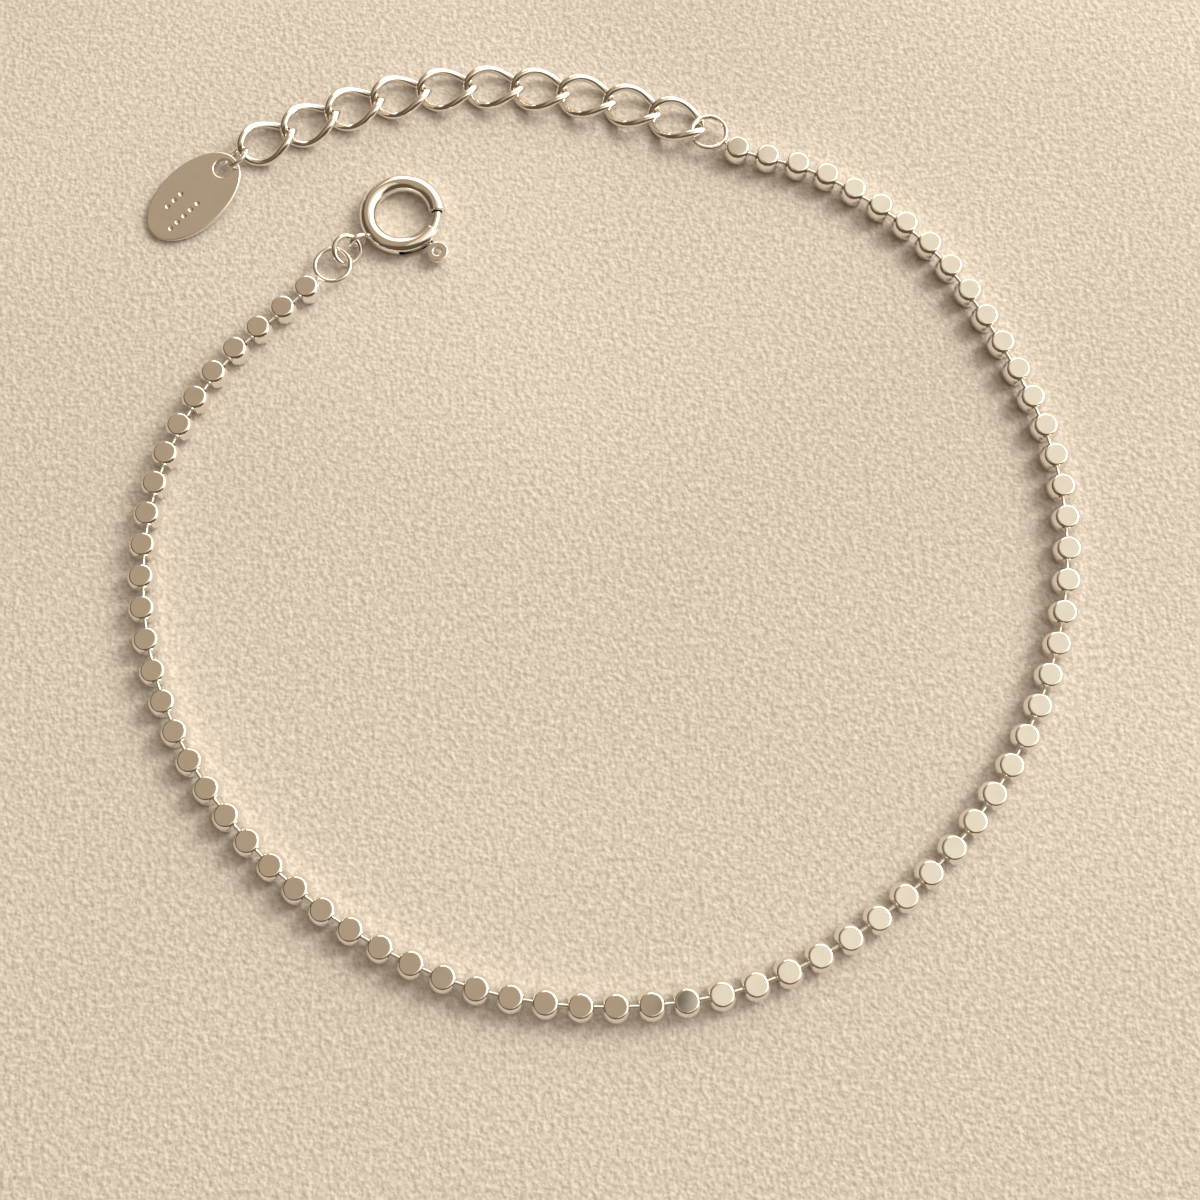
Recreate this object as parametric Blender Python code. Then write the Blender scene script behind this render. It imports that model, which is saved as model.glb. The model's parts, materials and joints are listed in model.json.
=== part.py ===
"""Silver bracelet: a chain of faceted beads, a spring-ring clasp, and a curb-link extender with an oval tag.

The bracelet lies open on a flat surface, as a loop. Metres, +Z up, origin at the middle of the loop's
footprint, on the surface. Every bead rests on its lower flat.
"""

import math

import bmesh
import bpy
from mathutils import Matrix, Vector

# Routes, chosen by hand: where the chain's axis lies on the surface (x, y).
# The bead chain runs from the middle of its ring at the clasp to the middle of its ring at the extender.
BEAD_ROUTE = [
    (-0.0169, 0.0181), (-0.0187, 0.0164), (-0.0248, 0.0108), (-0.0286, 0.0033), (-0.0293, -0.0051),
    (-0.0272, -0.0131), (-0.0227, -0.0202), (-0.0165, -0.0259), (-0.0091, -0.0298), (-0.0009, -0.0313),
    (0.0075, -0.0305), (0.0151, -0.0270), (0.0214, -0.0216), (0.0261, -0.0148), (0.0289, -0.0068),
    (0.0292, 0.0015), (0.0267, 0.0096), (0.0227, 0.0170), (0.0165, 0.0224), (0.0107, 0.0248),
    (0.0088, 0.0263),
]
# The extender runs from the middle of that second ring to the link that holds the tag.
EXTENDER_ROUTE = [
    (0.0088, 0.0263), (0.0063, 0.0276), (0.0002, 0.0297), (-0.0060, 0.0308), (-0.0123, 0.0305),
    (-0.0183, 0.0289), (-0.0211, 0.0275), (-0.0240, 0.0267),
]

# Beads: a ball with four flats, below, above and at both ends, on a thin wire.
BEAD_PITCH = 0.0021
BEAD_BALL = 0.0018  # across its round sides
BEAD_HEIGHT = 0.00132
BEAD_LENGTH = 0.00142
BEAD_SIDES = 12
BEAD_RINGS = 6
CHAIN_WIRE = 0.00028
END_RING_OUTER = 0.0027
END_RING_WIRE = 0.00034
END_RING_TO_BEAD = 0.0003  # the bare wire between a soldered end ring and its bead
END_RING_LIFT = 0.00009  # of its middle above the beads' axis, by what hangs in it

# Extender: ten curb links, each an oval of wire twisted along its length.
LINK_COUNT = 10
LINK_LENGTH = 0.00436
LINK_WIDTH = 0.00322
LINK_WIRE = 0.00054
LINK_TWIST = math.radians(-45)  # at each end, so that neighbours cross at a right angle
LINK_POINTS = 16
WIRE_PLAY = 0.00006  # left between two wires that hook into each other squarely
RING_PLAY = 0.00038  # left in the chain's ring, which the first link crosses at a slant

# Spring-ring clasp, with its trigger and the bail soldered to its side.
CLASP_DIRECTION = math.radians(32.2)  # from its bail to its middle, seen from above
CLASP_OUTER = 0.0058
CLASP_TUBE = 0.00115
CLASP_WALL = 0.00021
GAP_TIP_SIDE = math.radians(1)
GAP_TRIGGER_SIDE = math.radians(-33)
BOLT_CLEARANCE = 0.00008
BOLT_TIP = math.radians(5)
BOLT_TAIL = math.radians(-80)
BOLT_TRAVEL = math.radians(38)
TRIGGER_ANGLE = math.radians(-52.4)
TRIGGER_OUTER = 0.00144
TRIGGER_HOLE = 0.00056
TRIGGER_THICKNESS = 0.0004
TRIGGER_STANDOFF = 0.0001  # between the eye and the tube
TRIGGER_NECK = 0.0003
SLOT_CLEARANCE = 0.00007
BAIL_OUTER = 0.00149
BAIL_WIRE = 0.00032
BAIL_SINK = 0.0001  # how far its solder joint reaches into the tube's wall
BAIL_LIFT = 0.00006  # above the surface
HOLLOW_OVERRUN = math.radians(4)  # how far the bore is cut past each end of the tube

# Jump ring, a leaning ring that joins the chain's first ring to the bail.
JOIN_DIRECTION = math.radians(46.6)  # from the chain's ring to the bail, seen from above
JUMP_OUTER = 0.0022
JUMP_WIRE = 0.00038
JUMP_DIRECTION = math.radians(54.2)  # of the diameter that it leans about, seen from above
JUMP_TILT = math.radians(12.1)  # of that diameter, up towards the clasp
JUMP_LEAN = math.radians(39.1)
CHAIN_SLACK = 0.0003  # how far the jump ring lies from the chain's ring
BAIL_SLACK = 0.00019  # and from the bail

# Tag and its ring.
TAG_DIRECTION = math.radians(222)  # from its hole to its free end, seen from above
TAG_LENGTH = 0.0076
TAG_WIDTH = 0.0047
TAG_THICKNESS = 0.00035
TAG_HOLE = 0.0013
TAG_WEB = 0.0004  # between the hole and the rim
TAG_LIFT = 0.0005  # of the hole end above the surface
TAG_PLAY = 0.00022  # left in the hole, which the tag's ring crosses at a slant
TAG_RING_OUTER = 0.0021
TAG_RING_WIRE = 0.00025
TAG_RING_LEAN = math.radians(42)

# How finely round things are divided.
ROUTE_STEPS = 24  # between two points of a route
RING_STEPS = 16
CLASP_STEPS = 30
BOLT_STEPS = 12
SLOT_STEPS = 8
TAG_RIM_STEPS = 48
HOLE_STEPS = 16
WIRE_SIDES = 6
BOLT_SIDES = 8
BORE_SIDES = 8
TUBE_SIDES = 10
SHARP_ANGLE = math.radians(32)  # a steeper bend than this is drawn as an edge
WELD = 1e-7

UP = Vector((0, 0, 1))


def clear_scene():
    for thing in list(bpy.data.objects):
        bpy.data.objects.remove(thing)


def make_collection(name):
    collection = bpy.data.collections.new(name)
    bpy.context.scene.collection.children.link(collection)
    return collection


def metal(name, colour, roughness):
    material = bpy.data.materials.new(name)
    material.use_nodes = True
    shader = material.node_tree.nodes["Principled BSDF"]
    shader.inputs["Base Color"].default_value = (*colour, 1)
    shader.inputs["Metallic"].default_value = 1
    shader.inputs["Roughness"].default_value = roughness
    return material


def flat_direction(angle):
    return Vector((math.cos(angle), math.sin(angle), 0))


def smooth_route(points, height):
    """Points close together along a smooth curve through the given ones."""
    path = [Vector((x, y, height)) for x, y in points]
    path = [2 * path[0] - path[1]] + path + [2 * path[-1] - path[-2]]
    fine = []
    for before, start, end, after in zip(path, path[1:], path[2:], path[3:]):
        for step in range(ROUTE_STEPS):
            t = step / ROUTE_STEPS
            fine.append(
                0.5 * (2 * start + (end - before) * t
                       + (2 * before - 5 * start + 4 * end - after) * t ** 2
                       + (3 * start - before - 3 * end + after) * t ** 3)
            )
    fine.append(path[-2])
    return fine


def route_length(route):
    return sum((b - a).length for a, b in zip(route, route[1:]))


def along(route, distance):
    """The place at a distance along a route, and the direction there."""
    for a, b in zip(route, route[1:]):
        step = (b - a).length
        if distance <= step:
            break
        distance -= step
    direction = (b - a).normalized()
    return a + direction * distance, direction


def placed(place, forward, up=UP):
    """A matrix that moves a piece's X axis to forward and its Z axis towards up."""
    side = up.cross(forward).normalized()
    top = forward.cross(side)
    turn = Matrix((forward, side, top)).transposed().to_4x4()
    return Matrix.Translation(place) @ turn


def leaning(place, axis, lean):
    """A matrix that lays a flat ring's own X axis along the given one, and leans the ring over about it."""
    level_side = UP.cross(axis).normalized()
    upright = axis.cross(level_side)
    return placed(place, axis, upright * math.cos(lean) - level_side * math.sin(lean))


def add_object(name, mesh, collection, material):
    thing = bpy.data.objects.new(name, mesh)
    collection.objects.link(thing)
    if not mesh.materials:
        mesh.materials.append(material)
    mesh.shade_smooth()
    mesh.set_sharp_from_angle(angle=SHARP_ANGLE)
    return thing


def curve_to_mesh(curve):
    """Turns curve data into a closed mesh, with its caps welded on."""
    holder = bpy.data.objects.new("holder", curve)
    bpy.context.scene.collection.objects.link(holder)
    depsgraph = bpy.context.evaluated_depsgraph_get()
    mesh = bpy.data.meshes.new_from_object(holder.evaluated_get(depsgraph))
    bpy.data.objects.remove(holder)
    bm = bmesh.new()
    bm.from_mesh(mesh)
    bmesh.ops.remove_doubles(bm, verts=bm.verts, dist=WELD)
    bmesh.ops.recalc_face_normals(bm, faces=bm.faces)
    bm.to_mesh(mesh)
    bm.free()
    return mesh


def wire_mesh(points, diameter, closed, sides=WIRE_SIDES):
    """A round wire through the points. Its number of sides is even, and at least 4."""
    curve = bpy.data.curves.new("wire", "CURVE")
    curve.dimensions = "3D"
    curve.bevel_depth = diameter / 2
    curve.bevel_resolution = sides // 2 - 2
    curve.use_fill_caps = not closed
    spline = curve.splines.new("POLY")
    spline.points.add(len(points) - 1)
    for target, point in zip(spline.points, points):
        target.co = (*point, 1)
    spline.use_cyclic_u = closed
    return curve_to_mesh(curve)


def ring_mesh(outer, wire):
    """A round ring of wire, flat in XY."""
    radius = (outer - wire) / 2
    steps = [2 * math.pi * i / RING_STEPS for i in range(RING_STEPS)]
    return wire_mesh([radius * flat_direction(a) for a in steps], wire, closed=True)


def plate_mesh(outlines, thickness):
    """A flat plate in XY: the first outline is its rim and the others are holes."""
    curve = bpy.data.curves.new("plate", "CURVE")
    curve.dimensions = "2D"
    curve.fill_mode = "BOTH"
    curve.extrude = thickness / 2
    for outline in outlines:
        spline = curve.splines.new("POLY")
        spline.points.add(len(outline) - 1)
        for target, (x, y) in zip(spline.points, outline):
            target.co = (x, y, 0, 1)
        spline.use_cyclic_u = True
    return curve_to_mesh(curve)


def oval(half_length, half_width, count, centre_x=0.0):
    angles = [2 * math.pi * (i + 0.5) / count for i in range(count)]
    return [(centre_x + half_length * math.cos(a), half_width * math.sin(a)) for a in angles]


def washer_mesh(outer, hole, thickness):
    rim = oval(outer / 2, outer / 2, RING_STEPS)
    return plate_mesh([rim, oval(hole / 2, hole / 2, HOLE_STEPS)], thickness)


def boolean(target, operation, tool):
    """Joins a tool object to the target, or cuts it away, and leaves one mesh."""
    modifier = target.modifiers.new(operation.lower(), "BOOLEAN")
    modifier.operation = operation
    modifier.object = tool
    depsgraph = bpy.context.evaluated_depsgraph_get()
    mesh = bpy.data.meshes.new_from_object(target.evaluated_get(depsgraph))
    target.modifiers.clear()
    target.data = mesh
    bpy.data.objects.remove(tool)


def bead_mesh():
    """One bead: a ball with its poles on the chain's axis, X, and a flat cut at each end, above and below."""
    bm = bmesh.new()
    bmesh.ops.create_uvsphere(bm, u_segments=BEAD_SIDES, v_segments=BEAD_RINGS, radius=BEAD_BALL / 2)
    bmesh.ops.rotate(bm, verts=bm.verts, matrix=Matrix.Rotation(math.pi / 2, 3, "Y"))
    for axis, extent in ((Vector((1, 0, 0)), BEAD_LENGTH), (UP, BEAD_HEIGHT)):
        for side in (axis, -axis):
            cut = bmesh.ops.bisect_plane(
                bm, geom=bm.verts[:] + bm.edges[:] + bm.faces[:], dist=WELD,
                plane_co=side * extent / 2, plane_no=side, clear_outer=True,
            )
            rim = [edge for edge in cut["geom_cut"] if isinstance(edge, bmesh.types.BMEdge)]
            bmesh.ops.contextual_create(bm, geom=rim)
    bmesh.ops.recalc_face_normals(bm, faces=bm.faces)
    mesh = bpy.data.meshes.new("bead")
    bm.to_mesh(mesh)
    bm.free()
    return mesh


def bead_places(route):
    """Even places for as many beads as fit the route at about their pitch."""
    margin = END_RING_OUTER / 2 + END_RING_TO_BEAD + BEAD_LENGTH / 2
    span = route_length(route) - 2 * margin
    gaps = round(span / BEAD_PITCH)
    return [along(route, margin + span * i / gaps) for i in range(gaps + 1)]


def make_bead_chain(collection, material):
    """All beads, their wire and the two soldered end rings, as one solid."""
    route = smooth_route(BEAD_ROUTE, BEAD_HEIGHT / 2)
    places = bead_places(route)
    bead = bead_mesh()
    bm = bmesh.new()
    for place, direction in places:
        copy = bead.copy()
        copy.transform(placed(place, direction))
        bm.from_mesh(copy)
        bpy.data.meshes.remove(copy)
    mesh = bpy.data.meshes.new("bead_chain")
    bm.to_mesh(mesh)
    bm.free()
    chain = add_object("bead_chain", mesh, collection, material)

    ring_radius = (END_RING_OUTER - END_RING_WIRE) / 2
    lift = UP * END_RING_LIFT
    ends = [(route[0] + lift, places[0][0]), (route[-1] + lift, places[-1][0])]
    wire_ends = []
    for centre, bead_place in ends:
        towards = (bead_place - centre).normalized()
        wire_ends.append(centre + towards * ring_radius)
    wire_points = [wire_ends[0]] + [place for place, direction in places] + [wire_ends[1]]
    wire = add_object("wire", wire_mesh(wire_points, CHAIN_WIRE, closed=False), collection, material)
    boolean(chain, "UNION", wire)
    for centre, bead_place in ends:
        ring = add_object("end_ring", ring_mesh(END_RING_OUTER, END_RING_WIRE), collection, material)
        ring.matrix_world = placed(centre, (bead_place - centre).normalized())
        boolean(chain, "UNION", ring)
    return chain


def link_mesh():
    """One curb link along X: an oval of wire, twisted evenly from one end to the other."""
    half_length = (LINK_LENGTH - LINK_WIRE) / 2
    half_width = (LINK_WIDTH - LINK_WIRE) / 2
    points = []
    for i in range(LINK_POINTS):
        turn = 2 * math.pi * i / LINK_POINTS
        twist = LINK_TWIST * math.cos(turn)
        across = half_width * math.sin(turn)
        points.append(
            Vector((half_length * math.cos(turn), across * math.cos(twist), across * math.sin(twist)))
        )
    mesh = wire_mesh(points, LINK_WIRE, closed=True)
    mesh.name = "curb_link"
    return mesh


def make_extender(collection, material):
    """Curb links hooked into each other, from the chain's second ring on. Returns the last link's place."""
    mesh = link_mesh()
    lowest = min(vertex.co.z for vertex in mesh.vertices)
    route = smooth_route(EXTENDER_ROUTE, -lowest)
    ring_radius = (END_RING_OUTER - END_RING_WIRE) / 2
    first_hook = ring_radius - END_RING_WIRE / 2 - RING_PLAY + WIRE_PLAY / 2
    pitch = LINK_LENGTH - 2 * LINK_WIRE - WIRE_PLAY
    for number in range(LINK_COUNT):
        start, _ = along(route, first_hook + pitch * number)
        end, _ = along(route, first_hook + pitch * (number + 1))
        place = (start + end) / 2
        direction = (end - start).normalized()
        link = add_object(f"extender_link_{number + 1:02d}", mesh, collection, material)
        link.matrix_world = placed(place, direction)
    return place, direction


def make_tag(collection, material, ring_material, link_place, link_direction):
    """The tag's ring, hooked into the last link, and the tag on that ring, with its free end on the surface."""
    hole_x = TAG_WEB + TAG_HOLE / 2 - TAG_LENGTH / 2
    hole_to_end = TAG_LENGTH / 2 - hole_x
    slope = math.asin(TAG_LIFT / hole_to_end)
    outward = flat_direction(TAG_DIRECTION)
    down = outward * math.cos(slope) - UP * math.sin(slope)
    hook_to_hole = TAG_HOLE / 2 - TAG_RING_WIRE / 2 - TAG_PLAY
    hook_height = TAG_LIFT + TAG_THICKNESS / 2 * math.cos(slope) + hook_to_hole * math.sin(slope)

    link_end = link_place + link_direction * (LINK_LENGTH - LINK_WIRE) / 2
    ring_radius = (TAG_RING_OUTER - TAG_RING_WIRE) / 2
    reach = 2 * ring_radius - (LINK_WIRE + TAG_RING_WIRE) / 2 - WIRE_PLAY
    dip = math.asin((hook_height - link_end.z) / reach)
    ring_axis = outward * math.cos(dip) + UP * math.sin(dip)
    ring_place = link_end + ring_axis * (reach - ring_radius)
    ring = add_object("tag_ring", ring_mesh(TAG_RING_OUTER, TAG_RING_WIRE), collection, ring_material)
    ring.matrix_world = leaning(ring_place, ring_axis, TAG_RING_LEAN)

    hole_centre = ring_place + ring_axis * ring_radius + down * hook_to_hole
    hole = oval(TAG_HOLE / 2, TAG_HOLE / 2, HOLE_STEPS, hole_x)
    rim = oval(TAG_LENGTH / 2, TAG_WIDTH / 2, TAG_RIM_STEPS)
    mesh = plate_mesh([rim, hole], TAG_THICKNESS)
    mesh.name = "tag"
    tag = add_object("tag", mesh, collection, material)
    tag.matrix_world = placed(hole_centre - down * hole_x, down)


def arc_points(radius, start, end, steps):
    return [radius * flat_direction(start + (end - start) * i / steps) for i in range(steps + 1)]


def make_jump_ring(collection, material):
    """The jump ring, through the chain's first ring and leaning on the surface. Returns the bail's far end."""
    chain_ring = smooth_route(BEAD_ROUTE, 0)[0]
    towards = flat_direction(JOIN_DIRECTION)
    chain_radius = (END_RING_OUTER - END_RING_WIRE) / 2
    radius = (JUMP_OUTER - JUMP_WIRE) / 2
    to_chain = radius - (JUMP_WIRE + END_RING_WIRE) / 2 - CHAIN_SLACK
    to_bail = radius - (JUMP_WIRE + BAIL_WIRE) / 2 - BAIL_SLACK
    centre = chain_ring + towards * (chain_radius + to_chain)
    axis = flat_direction(JUMP_DIRECTION) * math.cos(JUMP_TILT) + UP * math.sin(JUMP_TILT)
    turn = leaning(Vector(), axis, JUMP_LEAN)
    flatness = turn.col[2].z
    centre.z = JUMP_WIRE / 2 + radius * math.sqrt(1 - flatness ** 2)
    ring = add_object("jump_ring", ring_mesh(JUMP_OUTER, JUMP_WIRE), collection, material)
    ring.matrix_world = Matrix.Translation(centre) @ turn
    return chain_ring + towards * (chain_radius + to_chain + to_bail)


def make_clasp(collection, material, bolt_material, bail_end):
    """The spring ring, with its bail around the jump ring. The bail's far wire has its centre at bail_end."""
    towards = flat_direction(CLASP_DIRECTION)
    bail_radius = (BAIL_OUTER - BAIL_WIRE) / 2
    bail_distance = CLASP_OUTER / 2 - BAIL_SINK + BAIL_OUTER / 2
    centre = bail_end + towards * (bail_radius + bail_distance)
    centre.z = CLASP_TUBE / 2
    axis = bpy.data.objects.new("clasp_axis", None)
    axis.empty_display_size = CLASP_OUTER / 2
    collection.objects.link(axis)
    axis.location = centre

    radius = (CLASP_OUTER - CLASP_TUBE) / 2
    bore = CLASP_TUBE - 2 * CLASP_WALL
    body_start, body_end = GAP_TIP_SIDE, GAP_TRIGGER_SIDE + 2 * math.pi
    outside = arc_points(radius, body_start, body_end, CLASP_STEPS)
    inside = arc_points(radius, body_start - HOLLOW_OVERRUN, body_end + HOLLOW_OVERRUN, CLASP_STEPS)
    body = add_object("clasp_ring", wire_mesh(outside, CLASP_TUBE, False, TUBE_SIDES), collection, material)
    bail = add_object("bail", ring_mesh(BAIL_OUTER, BAIL_WIRE), collection, material)
    bail_height = BAIL_LIFT + BAIL_OUTER / 2 - centre.z
    bail.matrix_world = placed(UP * bail_height - towards * bail_distance, towards, UP.cross(towards))
    boolean(body, "UNION", bail)
    hollow = add_object("hollow", wire_mesh(inside, bore, False, BORE_SIDES), collection, material)
    boolean(body, "DIFFERENCE", hollow)
    slot = add_object("slot", slot_mesh(radius), collection, material)
    boolean(body, "DIFFERENCE", slot)
    body.parent = axis

    bolt_wire = bore - 2 * BOLT_CLEARANCE
    bolt_points = arc_points(radius, BOLT_TAIL, BOLT_TIP, BOLT_STEPS)
    bolt_mesh = wire_mesh(bolt_points, bolt_wire, False, BOLT_SIDES)
    bolt = add_object("clasp_bolt", bolt_mesh, collection, bolt_material)
    out = flat_direction(TRIGGER_ANGLE)
    eye_distance = CLASP_OUTER / 2 + TRIGGER_STANDOFF + TRIGGER_OUTER / 2
    eye_radius = (TRIGGER_OUTER + TRIGGER_HOLE) / 4
    neck_points = [out * radius, out * (eye_distance - eye_radius)]
    neck = add_object("neck", wire_mesh(neck_points, TRIGGER_NECK, False), collection, bolt_material)
    boolean(bolt, "UNION", neck)
    eye_mesh = washer_mesh(TRIGGER_OUTER, TRIGGER_HOLE, TRIGGER_THICKNESS)
    eye = add_object("eye", eye_mesh, collection, bolt_material)
    eye.matrix_world = placed(out * eye_distance, out)
    boolean(bolt, "UNION", eye)
    bolt.parent = axis


def slot_mesh(radius):
    """The slot through the tube's outer wall that the trigger's neck slides in."""
    half_neck = (TRIGGER_NECK / 2 + SLOT_CLEARANCE) / radius
    start = TRIGGER_ANGLE + half_neck
    end = TRIGGER_ANGLE - BOLT_TRAVEL - half_neck
    inner = arc_points(radius, start, end, SLOT_STEPS)
    outer = arc_points(CLASP_OUTER / 2 + CLASP_WALL, end, start, SLOT_STEPS)
    outline = [(point.x, point.y) for point in inner + outer]
    return plate_mesh([outline], TRIGGER_NECK + 2 * SLOT_CLEARANCE)


def main():
    clear_scene()
    bracelet = make_collection("bracelet")
    chain_silver = metal("chain silver", (0.86, 0.83, 0.78), 0.05)
    link_silver = metal("link silver", (0.84, 0.81, 0.76), 0.08)
    tag_silver = metal("tag silver", (0.80, 0.76, 0.70), 0.12)
    tag_ring_silver = metal("tag ring silver", (0.84, 0.81, 0.76), 0.08)
    jump_ring_silver = metal("jump ring silver", (0.84, 0.81, 0.76), 0.08)
    clasp_silver = metal("clasp silver", (0.85, 0.82, 0.77), 0.07)
    bolt_silver = metal("bolt silver", (0.86, 0.83, 0.78), 0.06)
    make_bead_chain(bracelet, chain_silver)
    link_place, link_direction = make_extender(bracelet, link_silver)
    make_tag(bracelet, tag_silver, tag_ring_silver, link_place, link_direction)
    bail_end = make_jump_ring(bracelet, jump_ring_silver)
    make_clasp(bracelet, clasp_silver, bolt_silver, bail_end)


main()
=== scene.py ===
# %% [markdown]
# # A silver bracelet, laid open
#
# A worn bracelet is a loop, but this one lies undone on a pale table: a strand of small cut beads,
# a spring-ring clasp on one end, and on the other a short curb chain with an oval tag.
# Everything is polished silver, so nearly all that we see is reflection. That decides how the file
# is laid out. First come the camera and the lights, because they are what the metal shows.
# Then each piece is shaped finely enough for its mirror faces to be clean.

# %% Load the measured model
import json
import math

import bmesh
import bpy
from mathutils import Matrix, Vector


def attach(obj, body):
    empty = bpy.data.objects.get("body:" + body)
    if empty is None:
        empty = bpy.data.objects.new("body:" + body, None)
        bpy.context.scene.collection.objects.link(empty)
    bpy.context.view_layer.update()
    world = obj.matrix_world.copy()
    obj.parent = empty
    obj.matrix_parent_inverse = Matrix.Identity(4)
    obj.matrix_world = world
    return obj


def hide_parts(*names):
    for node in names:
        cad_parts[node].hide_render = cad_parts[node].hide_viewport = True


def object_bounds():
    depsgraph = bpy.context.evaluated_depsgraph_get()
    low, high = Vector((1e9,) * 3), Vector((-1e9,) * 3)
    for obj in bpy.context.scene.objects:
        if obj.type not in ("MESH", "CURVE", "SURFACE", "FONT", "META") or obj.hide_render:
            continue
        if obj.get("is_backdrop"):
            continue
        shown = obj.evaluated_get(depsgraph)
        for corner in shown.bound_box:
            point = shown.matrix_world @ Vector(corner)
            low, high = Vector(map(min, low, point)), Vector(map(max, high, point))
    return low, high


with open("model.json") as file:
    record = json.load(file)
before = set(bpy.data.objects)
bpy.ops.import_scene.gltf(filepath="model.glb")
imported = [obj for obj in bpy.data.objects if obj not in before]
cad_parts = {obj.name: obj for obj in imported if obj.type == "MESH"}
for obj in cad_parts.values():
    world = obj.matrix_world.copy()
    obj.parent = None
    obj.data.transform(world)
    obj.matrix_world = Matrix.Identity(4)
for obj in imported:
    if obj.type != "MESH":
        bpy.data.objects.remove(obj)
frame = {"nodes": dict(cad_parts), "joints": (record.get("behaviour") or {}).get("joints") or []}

MM = 0.001
UP = Vector((0, 0, 1))
measured_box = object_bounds()
scene = bpy.context.scene
print("parts:", len(frame["nodes"]))

# %% [markdown]
# ## Two helpers for node trees
#
# Blender's materials and its Geometry Nodes are both graphs. A graph is quick to draw by hand and slow to
# write out, so one class wraps a socket and lets it be added, subtracted and multiplied like a number,
# and one method makes any node from its type, its settings and what goes into its sockets.

# %% Sums on sockets, and one way to make a node
class Line:
    """A socket that can be reckoned with. Each sum on it adds the Math node that does it."""

    def __init__(self, graph, socket):
        self.graph = graph
        self.socket = socket

    def reckon(self, operation, *values):
        return self.graph.node("ShaderNodeMath", values, operation=operation)

    def __add__(self, other):
        return self.reckon("ADD", self, other)

    def __sub__(self, other):
        return self.reckon("SUBTRACT", self, other)

    def __mul__(self, other):
        return self.reckon("MULTIPLY", self, other)


class Graph:
    """A node tree, with one method that makes any node in it."""

    def __init__(self, tree):
        self.tree = tree

    def node(self, kind, inputs=(), out=0, stops=(), **settings):
        made = self.tree.nodes.new(kind)
        for name, value in settings.items():
            setattr(made, name, value)
        for number, (place, colour) in enumerate(stops):
            ramp = made.color_ramp.elements
            stop = ramp[number] if number < len(ramp) else ramp.new(place)
            stop.position = place
            stop.color = colour
        pairs = inputs.items() if isinstance(inputs, dict) else enumerate(inputs)
        for key, value in pairs:
            for one in value if isinstance(value, list) else [value]:
                if isinstance(one, Line):
                    self.tree.links.new(one.socket, made.inputs[key])
                else:
                    made.inputs[key].default_value = one
        return Line(self, made.outputs[out])


print("helpers ready")

# %% [markdown]
# ## The camera
#
# The picture is taken from just outside the near side of the loop, looking almost straight down: the camera
# leans 16 degrees forward, and is rolled a little. Its distance matters as much as its angle. At 11 cm
# above the table, each bead shows a slightly different side, and so reflects a different part of the room.

# %% Place the camera
lean = math.radians(16.0)
roll = math.radians(-3.45)
forward = Vector((0, math.sin(lean), -math.cos(lean)))
level_up = Vector((0, math.cos(lean), math.sin(lean)))
level_right = Vector((1, 0, 0))
camera_right = level_right * math.cos(roll) + level_up * math.sin(roll)
camera_up = level_up * math.cos(roll) - level_right * math.sin(roll)
camera_turn = Matrix((camera_right, camera_up, -forward)).transposed().to_4x4()

lens = bpy.data.cameras.new("camera")
lens.lens = 55.5
lens.sensor_width = 36
lens.clip_start = 0.001
camera = bpy.data.objects.new("camera", lens)
scene.collection.objects.link(camera)
eye_point = Vector((-0.47, -38.29, 112.76)) * MM
camera.matrix_world = Matrix.Translation(eye_point) @ camera_turn
scene.camera = camera
scene.view_settings.view_transform = "Standard"
print("camera height above the table, mm:", round(camera.location.z / MM, 1))

# %% [markdown]
# ## The light
#
# Mirror-bright metal has no colour of its own to speak of: it shows the room. So the room is made first.
# Its right half is pale and bright and its left half dim and brown, and they meet almost straight
# overhead. A bead's top flat therefore turns from taupe to cream where it passes under that edge. On the
# near side a dark bar runs along the edge, narrow enough to cross a single bead as a black stripe, and
# below it stands a dark near wall, which draws the crescent under each flat. The far wall is white: it is
# the broad light on the upper strands of the curb links.
# The room is drawn in the world's own nodes, as sums on the direction that a ray leaves in.

# %% A room with a bright side and a dim side
def room_light():
    room = bpy.data.worlds.new("room")
    room.use_nodes = True
    scene.world = room
    graph = Graph(room.node_tree)
    direction = graph.node("ShaderNodeTexCoord", out="Generated")
    parts = room.node_tree.nodes.new("ShaderNodeSeparateXYZ")
    room.node_tree.links.new(direction.socket, parts.inputs[0])
    x, y, z = (Line(graph, parts.outputs[name]) for name in "XYZ")
    side = x - y * 0.137 - z * 0.022

    def fade(value, low, high):
        return graph.node("ShaderNodeMapRange", [value, low, high, 0, 1], interpolation_type="SMOOTHSTEP")

    def blend(amount, first, second):
        return graph.node("ShaderNodeMixRGB", [amount, first, second])

    cream = (0.87, 0.79, 0.65, 1)
    white = (1.60, 1.47, 1.27, 1)
    daylight = (2.0, 1.86, 1.62, 1)
    brown = (0.45, 0.35, 0.245, 1)
    dusk = (0.12, 0.085, 0.055, 1)
    shade = (0.06, 0.045, 0.03, 1)
    bright_half = blend(fade(side, 0.28, 0.5), cream, white)
    dim_half = blend(fade(side * -1, 0.5, 0.8), brown, dusk)
    halves = blend(fade(side, -0.015, 0.02), dim_half, bright_half)
    bar = fade(side, -0.008, -0.004) * fade(side * -1, -0.010, -0.006) * fade(z * 0.15 - y, 0, 0.03)
    far_wall = fade(y, 0.55, 0.66) * fade(x, -0.25, -0.15)
    near_wall = fade(y * -1, 0.3, 0.62)
    walls = blend(far_wall, blend(bar, halves, shade), daylight)
    colour = blend(near_wall, walls, dusk)
    room.node_tree.links.new(colour.socket, room.node_tree.nodes["Background"].inputs["Color"])


room_light()
print("room:", len(scene.world.node_tree.nodes), "nodes")

# %% [markdown]
# ## The window
#
# One soft panel at the upper right stands for the window. It makes the whitest edges, throws the soft
# shadows to the lower left, and sends small patches of light back from the flats onto the table.

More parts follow.
